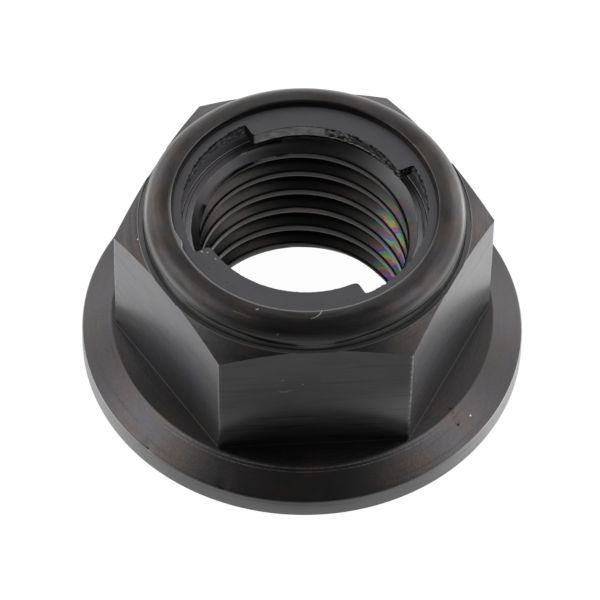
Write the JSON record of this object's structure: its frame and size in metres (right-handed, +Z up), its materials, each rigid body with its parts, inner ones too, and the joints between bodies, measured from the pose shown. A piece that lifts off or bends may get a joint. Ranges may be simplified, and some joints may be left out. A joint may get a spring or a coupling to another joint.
{
  "type": "sprocket nut",
  "caption": "Black flanged hexagon lock nut with a rolled collar that holds a stamped friction ring above the thread.",
  "frame": {"origin": "centre of the bearing face, under the flange, on the thread axis", "axes": "+Z up the thread axis, from the bearing face to the collar that holds the ring; +X through a corner of the hexagon; +Y square to one of its flats"},
  "size_m": [0.019, 0.019, 0.0093],
  "materials": {
    "nut_body": "machined steel, blackened, semi-gloss",
    "friction_ring": "stamped spring steel, blackened, matt"
  },
  "bodies": {
    "root": {"nut_body": "nut_body", "friction_ring": "friction_ring"}
  },
  "joints": []
}
